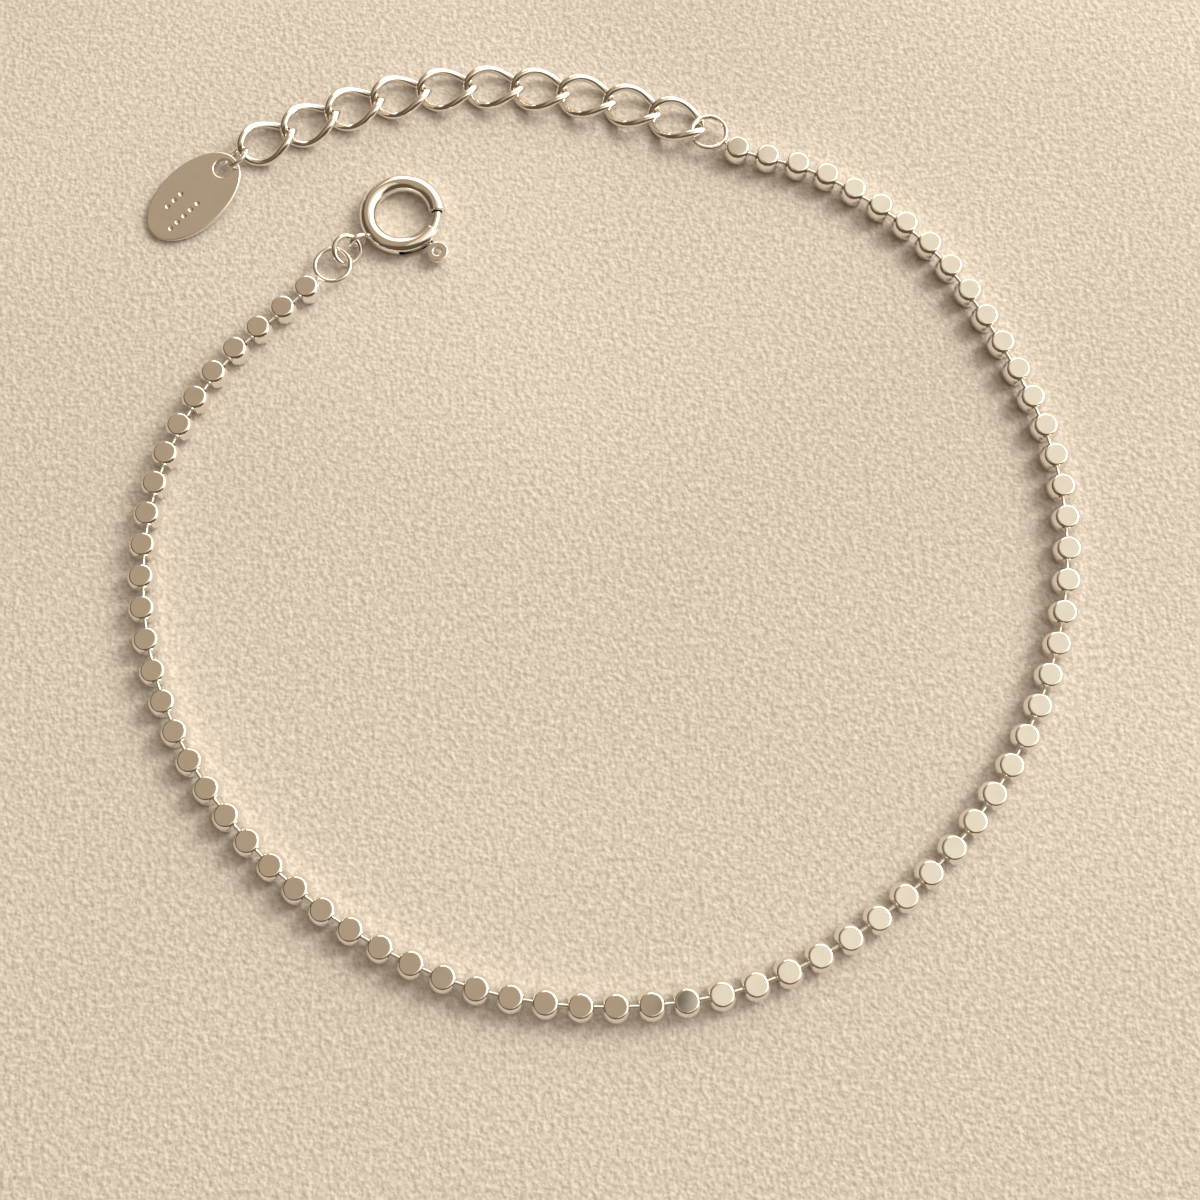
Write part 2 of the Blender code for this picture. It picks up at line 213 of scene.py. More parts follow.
# %% One soft panel
def panel(name, place, aim, width, height, radiance, colour):
    """A flat soft light, set by how bright it looks in a mirror."""
    light = bpy.data.lights.new(name, "AREA")
    light.shape = "RECTANGLE"
    light.size = width
    light.size_y = height
    light.energy = radiance * math.pi * width * height
    light.color = colour
    lamp = bpy.data.objects.new(name, light)
    scene.collection.objects.link(lamp)
    lamp.location = place
    lamp.rotation_euler = (Vector(place) - Vector(aim)).to_track_quat("Z", "Y").to_euler()
    print(name, "power", round(light.energy, 2))


panel("window", (0.58, 0.28, 0.48), (0, 0, 0), 0.34, 0.30, 12.5, (1.0, 0.95, 0.87))

# %% [markdown]
# ## The table
#
# A pale surface with a fine pebbled grain, like plaster or stiff leather. It is plain, but it isn't only a
# background: half of every bead reflects it. Noise and small soft cells roughen it together, and a third,
# slow layer gives the unevenness that stops a large flat area from looking like a fill.

# %% The table's surface
def table_paint():
    material = bpy.data.materials.new("warm plaster")
    material.use_nodes = True
    graph = Graph(material.node_tree)
    surface = material.node_tree.nodes["Principled BSDF"]
    where = graph.node("ShaderNodeTexCoord", out="Object")
    grain = graph.node(
        "ShaderNodeTexNoise", {"Vector": where, "Scale": 2600, "Detail": 4, "Roughness": 0.6},
        noise_dimensions="2D",
    )
    pebbles = graph.node(
        "ShaderNodeTexVoronoi", {"Vector": where, "Scale": 3400, "Smoothness": 0.6},
        voronoi_dimensions="2D", feature="SMOOTH_F1",
    )
    slow = graph.node(
        "ShaderNodeTexNoise", {"Vector": where, "Scale": 22, "Detail": 2}, noise_dimensions="2D"
    )
    tone = grain * 0.75 + slow * 0.25
    pale = graph.node(
        "ShaderNodeValToRGB", [tone],
        stops=[(0.36, (0.55, 0.50, 0.445, 1)), (0.64, (0.76, 0.705, 0.645, 1))],
    )
    height = grain * 0.7 + pebbles * 0.5
    bump = graph.node("ShaderNodeBump", {"Height": height, "Strength": 0.7, "Distance": 0.00012})
    material.node_tree.links.new(pale.socket, surface.inputs["Base Color"])
    material.node_tree.links.new(bump.socket, surface.inputs["Normal"])
    surface.inputs["Roughness"].default_value = 0.75
    return material


table_mesh = bpy.data.meshes.new("table")
half_table = 0.9
corners = [(-1, -1), (1, -1), (1, 1), (-1, 1)]
table_mesh.from_pydata([(x * half_table, y * half_table, 0) for x, y in corners], [], [(0, 1, 2, 3)])
table = bpy.data.objects.new("table", table_mesh)
scene.collection.objects.link(table)
table_mesh.materials.append(table_paint())
table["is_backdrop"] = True
print("table laid")

# %% [markdown]
# ## Polished silver
#
# Real polished silver is never a perfect mirror. Handling leaves faint smears that are a touch rougher,
# and polishing leaves hairlines that only show where a bright edge falls across them. Both are noise here:
# one slow, for the roughness, and one stretched thin, for a very shallow bump. A trace of warm
# tarnish tints the colour.

# %% One recipe for every silver piece
def silver(name, colour, roughness, smear=0.06, hairline=0.02, warm=0.04):
    material = bpy.data.materials.new(name)
    material.use_nodes = True
    graph = Graph(material.node_tree)
    surface = material.node_tree.nodes["Principled BSDF"]
    where = graph.node("ShaderNodeTexCoord", out="Object")
    slow = graph.node("ShaderNodeTexNoise", {"Vector": where, "Scale": 420, "Detail": 3, "Roughness": 0.6})
    stretched = graph.node("ShaderNodeMapping", {"Vector": where, "Scale": (900, 14000, 9000)})
    lines = graph.node("ShaderNodeTexNoise", {"Vector": stretched, "Scale": 1, "Detail": 2})
    tarnished = tuple(channel * (1 - warm * tint) for channel, tint in zip(colour, (1.0, 1.6, 2.6)))
    tint = graph.node(
        "ShaderNodeValToRGB", [slow],
        stops=[(0.40, (*colour, 1)), (0.72, (*tarnished, 1))],
    )
    rough = slow * smear + (roughness - smear / 2)
    bump = graph.node("ShaderNodeBump", {"Height": lines, "Strength": hairline, "Distance": 0.00001})
    material.node_tree.links.new(tint.socket, surface.inputs["Base Color"])
    material.node_tree.links.new(rough.socket, surface.inputs["Roughness"])
    material.node_tree.links.new(bump.socket, surface.inputs["Normal"])
    surface.inputs["Metallic"].default_value = 1
    return material


chain_silver = silver("chain silver", (0.93, 0.90, 0.86), 0.06)
link_silver = silver("link silver", (0.93, 0.89, 0.84), 0.09)
tag_ring_silver = silver("tag ring silver", (0.93, 0.89, 0.84), 0.09)
tag_silver = silver("tag silver", (0.90, 0.86, 0.80), 0.20, smear=0.10, hairline=0.01)
jump_silver = silver("jump ring silver", (0.93, 0.89, 0.84), 0.09)
clasp_silver = silver("clasp silver", (0.93, 0.89, 0.84), 0.08)
bolt_silver = silver("bolt silver", (0.94, 0.91, 0.87), 0.07)
print("silver finishes:", sum("silver" in material.name for material in bpy.data.materials))

# %% [markdown]
# ## Shapes that follow a path
#
# Wire, tube and rings are all one idea: a small outline pushed along a path. Blender's curves can do it,
# but on a tight ring we want to say exactly which way the outline faces, so the skin is laid by hand,
# loop by loop, and closed either onto itself or with a cap.

# %% A skin round a path
def flat_direction(angle):
    return Vector((math.cos(angle), math.sin(angle), 0))


def round_profile(radius, sides):
    return [(radius * math.cos(2 * math.pi * i / sides), radius * math.sin(2 * math.pi * i / sides))
            for i in range(sides)]


def skin(bm, path, ups, profile, closed=False, sizes=None, caps=True):
    """Adds a skin round a path to bm, and returns its loops. ups says where the profile's top faces."""
    count = len(path)
    loops = []
    for i in range(count):
        before = path[i - 1] if closed or i else path[i]
        after = path[(i + 1) % count] if closed or i < count - 1 else path[i]
        ahead = (after - before).normalized()
        side = ahead.cross(ups[i]).normalized()
        top = side.cross(ahead)
        size = sizes[i] if sizes else 1
        loops.append([bm.verts.new(path[i] + (side * a + top * b) * size) for a, b in profile])
    around = len(profile)
    for i in range(count if closed else count - 1):
        near, far = loops[i], loops[(i + 1) % count]
        for j in range(around):
            k = (j + 1) % around
            bm.faces.new((near[j], near[k], far[k], far[j]))
    if caps and not closed:
        bm.faces.new(loops[0][::-1])
        bm.faces.new(loops[-1])
    return loops


def make_piece(name, bm, material, crease=35):
    """A finished object from bm: smooth, but with an edge wherever it bends by more than crease degrees."""
    bmesh.ops.recalc_face_normals(bm, faces=bm.faces)
    mesh = bpy.data.meshes.new(name)
    bm.to_mesh(mesh)
    bm.free()
    mesh.materials.append(material)
    mesh.shade_smooth()
    mesh.set_sharp_from_angle(angle=math.radians(crease))
    piece = bpy.data.objects.new(name, mesh)
    scene.collection.objects.link(piece)
    return piece


def triangles(piece):
    piece.data.calc_loop_triangles()
    return len(piece.data.loop_triangles)


print("path tools ready")

# %% [markdown]
# ## Joining and cutting
#
# Where two pieces are soldered they are one body of metal, and a slot is really cut. Blender's Boolean
# modifier does both. Its result is made a plain mesh straight away, so nothing depends on the tool object.

# %% Solder on, or cut away
def solid_change(target, operation, tool, crease=35):
    modifier = target.modifiers.new(operation.lower(), "BOOLEAN")
    modifier.operation = operation
    modifier.object = tool
    modifier.solver = "EXACT"
    depsgraph = bpy.context.evaluated_depsgraph_get()
    mesh = bpy.data.meshes.new_from_object(target.evaluated_get(depsgraph))
    target.modifiers.clear()
    target.data = mesh
    bpy.data.objects.remove(tool)
    mesh.shade_smooth()
    mesh.set_sharp_from_angle(angle=math.radians(crease))


def apply_place(piece, matrix):
    """Puts a piece's place into its mesh, so that the object itself stays at the origin."""
    piece.data.transform(matrix)
    piece.data.update()


print("joining tools ready")

# %% [markdown]
# ## Where the strand lies
#
# The loop was laid by hand, so its line is a list of points with a smooth curve through them. The beads
# are spread evenly along it, from just after one end ring to just before the other.

# %% The loop's line
STRAND_POINTS = [
    (-16.9, 18.1), (-18.7, 16.4), (-24.8, 10.8), (-28.6, 3.3), (-29.3, -5.1), (-27.2, -13.1),
    (-22.7, -20.2), (-16.5, -25.9), (-9.1, -29.8), (-0.9, -31.3), (7.5, -30.5), (15.1, -27.0),
    (21.4, -21.6), (26.1, -14.8), (28.9, -6.8), (29.2, 1.5), (26.7, 9.6), (22.7, 17.0),
    (16.5, 22.4), (10.7, 24.8), (8.8, 26.3),
]
EXTENDER_POINTS = [
    (8.8, 26.3), (6.3, 27.6), (0.2, 29.7), (-6.0, 30.8), (-12.3, 30.5), (-18.3, 28.9), (-21.1, 27.5),
    (-24.0, 26.7),
]
BEAD_COUNT = 72
BEAD_BALL = 1.9 * MM
BEAD_HEIGHT = 1.32 * MM
BEAD_LENGTH = 1.54 * MM
BEAD_REACH = 0.71 * MM  # half the length that the spacing allows for
CHAIN_WIRE = 0.24 * MM
END_RING_OUTER = 2.7 * MM
END_RING_WIRE = 0.34 * MM
END_RING_TO_BEAD = 0.3 * MM
END_RING_LIFT = 0.09 * MM


def smooth_route(points, height, steps=24):
    """A Catmull-Rom curve through the points, which are in millimetres."""
    path = [Vector((x * MM, y * MM, height)) for x, y in points]
    path = [2 * path[0] - path[1]] + path + [2 * path[-1] - path[-2]]
    fine = []
    for before, start, end, after in zip(path, path[1:], path[2:], path[3:]):
        for step in range(steps):
            t = step / steps
            fine.append(
                0.5 * (2 * start + (end - before) * t
                       + (2 * before - 5 * start + 4 * end - after) * t ** 2
                       + (3 * start - before - 3 * end + after) * t ** 3)
            )
    fine.append(path[-2])
    return fine


def route_length(route):
    return sum((b - a).length for a, b in zip(route, route[1:]))


def along(route, distance):
    """The place at a distance along a route, and the direction there."""
    for a, b in zip(route, route[1:]):
        step = (b - a).length
        if distance <= step:
            break
        distance -= step
    ahead = (b - a).normalized()
    return a + ahead * distance, ahead


strand_route = smooth_route(STRAND_POINTS, BEAD_HEIGHT / 2)
margin = END_RING_OUTER / 2 + END_RING_TO_BEAD + BEAD_REACH
bead_span = route_length(strand_route) - 2 * margin
bead_places = [along(strand_route, margin + bead_span * i / (BEAD_COUNT - 1)) for i in range(BEAD_COUNT)]
print("bead pitch, mm:", round(bead_span / (BEAD_COUNT - 1) / MM, 3))

# %% [markdown]
# ## One bead
#
# Each bead starts as a ball of silver, and a diamond tool cuts round mirror flats on it: top, bottom, and
# the two ends where the wire passes. Its sides stay round. The ball and its two large flats turn about one
# axis, so they are spun from an outline: the flat, a soft shoulder, and the ball's own curve. The ends are
# cut off afterwards. Each flat is left out of the smoothing, or it would mirror the room like a lens.

# %% Spin a bead and cut its ends
def bead_outline(shoulder=0.17 * MM, steps=5, ball_steps=8):
    """Distance from the upright axis and height, from the upper flat's rim down to the lower one's."""
    ball = BEAD_BALL / 2
    flat = BEAD_HEIGHT / 2
    middle = math.sqrt((ball - shoulder) ** 2 - (flat - shoulder) ** 2)
    meet = math.atan2(middle, flat - shoulder)
    upper = []
    for i in range(steps + 1):
        turn = meet * i / steps
        upper.append((middle + shoulder * math.sin(turn), flat - shoulder + shoulder * math.cos(turn)))
    for i in range(1, ball_steps // 2 + 1):
        turn = meet + (math.pi / 2 - meet) * i / (ball_steps // 2)
        upper.append((ball * math.sin(turn), ball * math.cos(turn)))
    return upper + [(reach, -height) for reach, height in reversed(upper[:-1])]


def bead_mesh(sides=36, edge=0.02 * MM):
    bm = bmesh.new()
    turns = [flat_direction(2 * math.pi * i / sides) for i in range(sides)]
    loops = []
    for reach, height in bead_outline():
        loops.append([bm.verts.new(turn * reach + UP * height) for turn in turns])
    for near, far in zip(loops, loops[1:]):
        for j in range(sides):
            k = (j + 1) % sides
            bm.faces.new((near[j], near[k], far[k], far[j]))
    bm.faces.new(loops[0])
    bm.faces.new(loops[-1][::-1])
    rims = []
    for out in (Vector((1, 0, 0)), Vector((-1, 0, 0))):
        cut = bmesh.ops.bisect_plane(
            bm, geom=bm.verts[:] + bm.edges[:] + bm.faces[:], dist=1e-7,
            plane_co=out * BEAD_LENGTH / 2, plane_no=out, clear_outer=True,
        )
        rim = [part for part in cut["geom_cut"] if isinstance(part, bmesh.types.BMEdge)]
        bmesh.ops.contextual_create(bm, geom=rim)
        rims += rim
    bmesh.ops.bevel(
        bm, geom=rims, offset=edge, segments=2, profile=0.5, affect="EDGES", clamp_overlap=True
    )
    return bm


bead = make_piece("bead", bead_mesh(), chain_silver)
for face in bead.data.polygons:
    face.use_smooth = len(face.vertices) < 9
print("triangles in a bead:", triangles(bead))

# %% [markdown]
# ## Seventy-two beads on a wire
#
# The same bead is needed again and again along a line, which is what Geometry Nodes are for. The line is
# resampled to one point for each bead, a bead is set on each point and turned to face along the wire, and
# a small random turn keeps the flats from lining up too well. The wire is a thin profile along the same
# line. The last nodes make the copies real and give them their finish.

# %% A tree that strings beads
def new_tree(name, sockets):
    """A Geometry Nodes tree with named inputs, and the line that each input starts."""
    tree = bpy.data.node_groups.new(name, "GeometryNodeTree")
    tree.interface.new_socket(name="Geometry", in_out="INPUT", socket_type="NodeSocketGeometry")
    for label, kind in sockets:
        tree.interface.new_socket(name=label, in_out="INPUT", socket_type=kind)
    tree.interface.new_socket(name="Geometry", in_out="OUTPUT", socket_type="NodeSocketGeometry")
    graph = Graph(tree)
    entry = tree.nodes.new("NodeGroupInput")
    lines = {socket.name: Line(graph, socket) for socket in entry.outputs if socket.name}
    return graph, lines


def end_tree(graph, shape, material):
    real = graph.node("GeometryNodeRealizeInstances", [shape])
    finished = graph.node("GeometryNodeSetMaterial", {"Geometry": real, "Material": material})
    result = graph.tree.nodes.new("NodeGroupOutput")
    graph.tree.links.new(finished.socket, result.inputs["Geometry"])
    return graph.tree


def grow(name, host, tree, **values):
    """Runs a tree on a host object, and returns the result as a plain mesh object."""
    modifier = host.modifiers.new("grow", "NODES")
    modifier.node_group = tree
    for item in tree.interface.items_tree:
        if item.item_type == "SOCKET" and item.in_out == "INPUT" and item.name in values:
            modifier[item.identifier] = values[item.name]
    depsgraph = bpy.context.evaluated_depsgraph_get()
    mesh = bpy.data.meshes.new_from_object(host.evaluated_get(depsgraph))
    host.modifiers.clear()
    bpy.data.objects.remove(host)
    piece = bpy.data.objects.new(name, mesh)
    scene.collection.objects.link(piece)
    return piece


def thread(name, points):
    """A host object that is only a line of edges."""
    mesh = bpy.data.meshes.new(name)
    mesh.from_pydata(points, [(i, i + 1) for i in range(len(points) - 1)], [])
    host = bpy.data.objects.new(name, mesh)
    scene.collection.objects.link(host)
    return host


def strand_tree():
    graph, given = new_tree("strung beads", [
        ("Bead", "NodeSocketObject"), ("Beads", "NodeSocketInt"), ("Wire radius", "NodeSocketFloat"),
        ("Loose turn", "NodeSocketFloat"), ("Seed", "NodeSocketInt"),
    ])
    line = graph.node("GeometryNodeMeshToCurve", [given["Geometry"]])
    places = graph.node("GeometryNodeResampleCurve", {"Curve": line, "Count": given["Beads"]}, mode="COUNT")
    heading = graph.node("GeometryNodeInputTangent")
    facing = graph.node("FunctionNodeAlignRotationToVector", {"Vector": heading}, axis="X", pivot_axis="Z")
    loose = given["Loose turn"]
    most = graph.node("ShaderNodeCombineXYZ", [loose, loose * 0.25, loose * 0.5])
    least = graph.node("ShaderNodeVectorMath", [most, (-1, -1, -1)], operation="MULTIPLY")
    random = graph.node(
        "FunctionNodeRandomValue", {"Min": least, "Max": most, "Seed": given["Seed"]},
        data_type="FLOAT_VECTOR",
    )
    nudge = graph.node("FunctionNodeEulerToRotation", [random])
    turned = graph.node(
        "FunctionNodeRotateRotation", {"Rotation": facing, "Rotate By": nudge}, rotation_space="LOCAL"
    )
    one = graph.node("GeometryNodeObjectInfo", {"Object": given["Bead"]}, out="Geometry")
    beads = graph.node(
        "GeometryNodeInstanceOnPoints", {"Points": places, "Instance": one, "Rotation": turned}
    )
    round_wire = graph.node(
        "GeometryNodeCurvePrimitiveCircle", {"Resolution": 12, "Radius": given["Wire radius"]},
        mode="RADIUS",
    )
    wire = graph.node("GeometryNodeCurveToMesh", {"Curve": places, "Profile Curve": round_wire})
    smooth_wire = graph.node("GeometryNodeSetShadeSmooth", [wire])
    strung = graph.node("GeometryNodeJoinGeometry", [[beads, smooth_wire]])
    return end_tree(graph, strung, chain_silver)


bead_line = [place for place, ahead in bead_places]
strand = grow(
    "bead_strand", thread("bead_line", bead_line), strand_tree(), Bead=bead, Beads=BEAD_COUNT, Seed=4,
    **{"Wire radius": CHAIN_WIRE / 2, "Loose turn": math.radians(1.2)},
)
bpy.data.objects.remove(bead)
print("strand:", triangles(strand), "triangles")

# %% [markdown]
# ## The strand's end rings
#
# At each end the wire is soldered to a plain round ring. One ring takes the clasp's loop and the other
# takes the first curb link. They become part of the strand's mesh, as they are part of its metal.

# %% Solder a ring on each end
def ring_skin(bm, place, outer, wire, ahead=Vector((1, 0, 0)), normal=UP, steps=48, sides=16):
    side = normal.cross(ahead)
    radius = (outer - wire) / 2
    path = []
    for i in range(steps):
        turn = 2 * math.pi * i / steps
        path.append(place + (ahead * math.cos(turn) + side * math.sin(turn)) * radius)
    skin(bm, path, [normal] * steps, round_profile(wire / 2, sides), closed=True)


def tail_skin(bm, ring_place, bead_place):
    """The bare wire from a ring's edge to its bead."""
    towards = (bead_place - ring_place).normalized()
    start = ring_place + towards * (END_RING_OUTER - END_RING_WIRE) / 2
    skin(bm, [start, bead_place], [UP, UP], round_profile(CHAIN_WIRE / 2, 12))


rings = bmesh.new()
for route_end, bead_place in ((strand_route[0], bead_line[0]), (strand_route[-1], bead_line[-1])):
    ring_place = route_end + UP * END_RING_LIFT
    ring_skin(rings, ring_place, END_RING_OUTER, END_RING_WIRE)
    tail_skin(rings, ring_place, bead_place)
end_rings = make_piece("end_rings", rings, chain_silver)
joined = bmesh.new()
joined.from_mesh(strand.data)
joined.from_mesh(end_rings.data)
for face in joined.faces:
    face.material_index = 0
joined.to_mesh(strand.data)
joined.free()
strand.data.materials.clear()
strand.data.materials.append(chain_silver)
bpy.data.objects.remove(end_rings)
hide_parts("bead_chain")
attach(strand, "bracelet")
print("strand with rings:", triangles(strand), "triangles")

# %% [markdown]
# ## The extender's curb links
#
# A curb link starts as an oval of wire and is then twisted, so that each link can lie flat beside the
# next while the two hook through each other at a right angle. The rule is short: walk round the oval, and
# turn the strand about the link's length by an angle that runs from one side at one end to the
# other side at the other.

# %% One twisted link
LINK_COUNT = 10
LINK_LENGTH = 4.36 * MM
LINK_WIDTH = 3.22 * MM
LINK_WIRE = 0.54 * MM
LINK_TWIST = math.radians(-45)
HOOK_PLAY = 0.06 * MM
RING_PLAY = 0.38 * MM


def link_skin(steps=72, sides=16):
    half_length = (LINK_LENGTH - LINK_WIRE) / 2
    half_width = (LINK_WIDTH - LINK_WIRE) / 2
    path = []
    ups = []
    for i in range(steps):
        turn = 2 * math.pi * i / steps
        twist = LINK_TWIST * math.cos(turn)
        across = half_width * math.sin(turn)
        along_link = half_length * math.cos(turn)
        path.append(Vector((along_link, across * math.cos(twist), across * math.sin(twist))))
        ups.append(Vector((0, -math.sin(twist), math.cos(twist))))
    bm = bmesh.new()
    skin(bm, path, ups, round_profile(LINK_WIRE / 2, sides), closed=True)
    return bm


link = make_piece("link", link_skin(), link_silver)
link_height = -min(corner.co.z for corner in link.data.vertices)
print("a link stands, mm:", round(2 * link_height / MM, 2))

# %% [markdown]
# ## Ten links in a row
#
# The host is a line with one edge for each link, from hook to hook. Geometry Nodes turn the edges into
# points, read which way each edge runs, and set a link on each.

# %% A tree that hooks up links
def extender_tree():
    graph, given = new_tree("hooked links", [("Link", "NodeSocketObject")])
    start = graph.node("GeometryNodeInputMeshEdgeVertices", out="Position 1")
    end = graph.node("GeometryNodeInputMeshEdgeVertices", out="Position 2")
    run = graph.node("ShaderNodeVectorMath", [end, start], operation="SUBTRACT")
    named = graph.node(
        "GeometryNodeStoreNamedAttribute",
        {"Geometry": given["Geometry"], "Name": "run", "Value": run},
        data_type="FLOAT_VECTOR", domain="EDGE",
    )
    places = graph.node("GeometryNodeMeshToPoints", [named], mode="EDGES")
    kept = graph.node("GeometryNodeInputNamedAttribute", {"Name": "run"}, data_type="FLOAT_VECTOR")
    facing = graph.node("FunctionNodeAlignRotationToVector", {"Vector": kept}, axis="X", pivot_axis="Z")
    one = graph.node("GeometryNodeObjectInfo", {"Object": given["Link"]}, out="Geometry")
    links = graph.node(
        "GeometryNodeInstanceOnPoints", {"Points": places, "Instance": one, "Rotation": facing}
    )
    return end_tree(graph, links, link_silver)


extender_route = smooth_route(EXTENDER_POINTS, link_height)
ring_radius = (END_RING_OUTER - END_RING_WIRE) / 2
first_hook = ring_radius - END_RING_WIRE / 2 - RING_PLAY + HOOK_PLAY / 2
link_pitch = LINK_LENGTH - 2 * LINK_WIRE - HOOK_PLAY
hooks = [along(extender_route, first_hook + link_pitch * i)[0] for i in range(LINK_COUNT + 1)]
extender = grow("extender_links", thread("hooks", hooks), extender_tree(), Link=link)
bpy.data.objects.remove(link)
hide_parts(*[f"extender_link_{number:02d}" for number in range(1, LINK_COUNT + 1)])
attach(extender, "bracelet")
print("extender:", triangles(extender), "triangles, pitch mm", round(link_pitch / MM, 2))

# %% [markdown]
# ## The tag and its ring
#
# A thin ring leans through the last link and carries the tag, a stamped oval plate. A stamping press leaves
# the plate's edges slightly rolled, and that soft edge is the bright line round it. Its face is left
# without words: two short rows of plain punched dots stand where a maker would put a stamp.

# %% The leaning ring
TAG_LENGTH = 7.6 * MM
TAG_WIDTH = 4.7 * MM
TAG_THICKNESS = 0.35 * MM
TAG_HOLE = 1.3 * MM
TAG_WEB = 0.4 * MM
TAG_LIFT = 0.5 * MM
TAG_PLAY = 0.22 * MM
TAG_RING_OUTER = 2.1 * MM
TAG_RING_WIRE = 0.25 * MM
TAG_RING_LEAN = math.radians(42)
TAG_DIRECTION = math.radians(222)

hole_x = TAG_WEB + TAG_HOLE / 2 - TAG_LENGTH / 2
slope = math.asin(TAG_LIFT / (TAG_LENGTH / 2 - hole_x))
tag_out = flat_direction(TAG_DIRECTION)
tag_down = tag_out * math.cos(slope) - UP * math.sin(slope)
hook_to_hole = TAG_HOLE / 2 - TAG_RING_WIRE / 2 - TAG_PLAY
hook_height = TAG_LIFT + TAG_THICKNESS / 2 * math.cos(slope) + hook_to_hole * math.sin(slope)

last_place = (hooks[-2] + hooks[-1]) / 2
last_ahead = (hooks[-1] - hooks[-2]).normalized()
link_end = last_place + last_ahead * (LINK_LENGTH - LINK_WIRE) / 2
tag_ring_radius = (TAG_RING_OUTER - TAG_RING_WIRE) / 2
reach = 2 * tag_ring_radius - (LINK_WIRE + TAG_RING_WIRE) / 2 - HOOK_PLAY
dip = math.asin((hook_height - link_end.z) / reach)
ring_axis = tag_out * math.cos(dip) + UP * math.sin(dip)
ring_place = link_end + ring_axis * (reach - tag_ring_radius)


def leaning_normal(axis, lean):
    """Which way a ring's flat side faces when it leans over about one of its diameters."""
    level_side = UP.cross(axis).normalized()
    return axis.cross(level_side) * math.cos(lean) - level_side * math.sin(lean)


loop = bmesh.new()
ring_normal = leaning_normal(ring_axis, TAG_RING_LEAN)
ring_skin(loop, ring_place, TAG_RING_OUTER, TAG_RING_WIRE, ring_axis, ring_normal)
tag_ring = make_piece("tag_loop", loop, tag_ring_silver)
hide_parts("tag_ring")
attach(tag_ring, "bracelet")
print("tag ring:", triangles(tag_ring), "triangles")

# %% The oval plate
TAG_ROLL = 0.09 * MM
DOT_SPACING = 0.62 * MM
DOT_RADIUS = 0.17 * MM
DOT_DEPTH = 0.05 * MM


def oval(half_length, half_width, count, centre_x=0.0):
    angles = [2 * math.pi * (i + 0.5) / count for i in range(count)]
    return [(centre_x + half_length * math.cos(a), half_width * math.sin(a)) for a in angles]


def plate_mesh(outlines, thickness, roll):
    """A flat plate with rolled edges. A curve's bevel rounds its rim and its hole alike."""
    curve = bpy.data.curves.new("plate", "CURVE")
    curve.dimensions = "2D"
    curve.fill_mode = "BOTH"
    curve.extrude = thickness / 2 - roll
    curve.bevel_depth = roll
    curve.bevel_resolution = 4
    curve.offset = -roll
    for outline in outlines:
        spline = curve.splines.new("POLY")
        spline.points.add(len(outline) - 1)
        for target, (x, y) in zip(spline.points, outline):
            target.co = (x, y, 0, 1)
        spline.use_cyclic_u = True
    holder = bpy.data.objects.new("holder", curve)
    scene.collection.objects.link(holder)
    depsgraph = bpy.context.evaluated_depsgraph_get()
    mesh = bpy.data.meshes.new_from_object(holder.evaluated_get(depsgraph))
    bpy.data.objects.remove(holder)
    return mesh


def flatten_faces(piece, level=0.9999):
    """Leaves a plate's two level faces out of the smoothing, so that they stay plain mirrors."""
    for face in piece.data.polygons:
        if abs(face.normal.z) > level:
            face.use_smooth = False


def dot_punch(places, radius, depth):
    """Small balls that each dip into the plate's face by depth."""
    ball = (radius ** 2 + depth ** 2) / (2 * depth)
    bm = bmesh.new()
    for x, y in places:
        lift = TAG_THICKNESS / 2 + ball - depth
        bmesh.ops.create_uvsphere(
            bm, u_segments=32, v_segments=24, radius=ball, matrix=Matrix.Translation((x, y, lift))
        )
    return bm


plate = plate_mesh(
    [oval(TAG_LENGTH / 2, TAG_WIDTH / 2, 96), oval(TAG_HOLE / 2, TAG_HOLE / 2, 40, hole_x)],
    TAG_THICKNESS, TAG_ROLL,
)
plate_bm = bmesh.new()
plate_bm.from_mesh(plate)
bmesh.ops.remove_doubles(plate_bm, verts=plate_bm.verts, dist=1e-7)
tag = make_piece("tag_plate", plate_bm, tag_silver)
long_row = [(0.2 * MM + DOT_SPACING * i, 0.62 * MM) for i in range(5)]
short_row = [(0.5 * MM + DOT_SPACING * i, -0.72 * MM) for i in range(3)]
dots = make_piece("dots", dot_punch(long_row + short_row, DOT_RADIUS, DOT_DEPTH), tag_silver)
solid_change(tag, "DIFFERENCE", dots, crease=20)
flatten_faces(tag)
print("tag:", triangles(tag), "triangles,", len(long_row + short_row), "dots")

hole_centre = ring_place + ring_axis * tag_ring_radius + tag_down * hook_to_hole
tag_side = UP.cross(tag_down).normalized()
tag_top = tag_down.cross(tag_side)
tag_turn = Matrix((tag_down, tag_side, tag_top)).transposed().to_4x4()
apply_place(tag, Matrix.Translation(hole_centre - tag_down * hole_x) @ tag_turn)
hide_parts("tag")
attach(tag, "bracelet")

# %% [markdown]
# ## The spring ring
#
# The clasp is a tube bent into a ring, with a gap that a sliding bolt closes. The tube really is hollow,
# because the bolt slides back into it, and its mouth shows that. So it gets an outer skin, an
# inner skin, and a rounded lip between them at both ends.

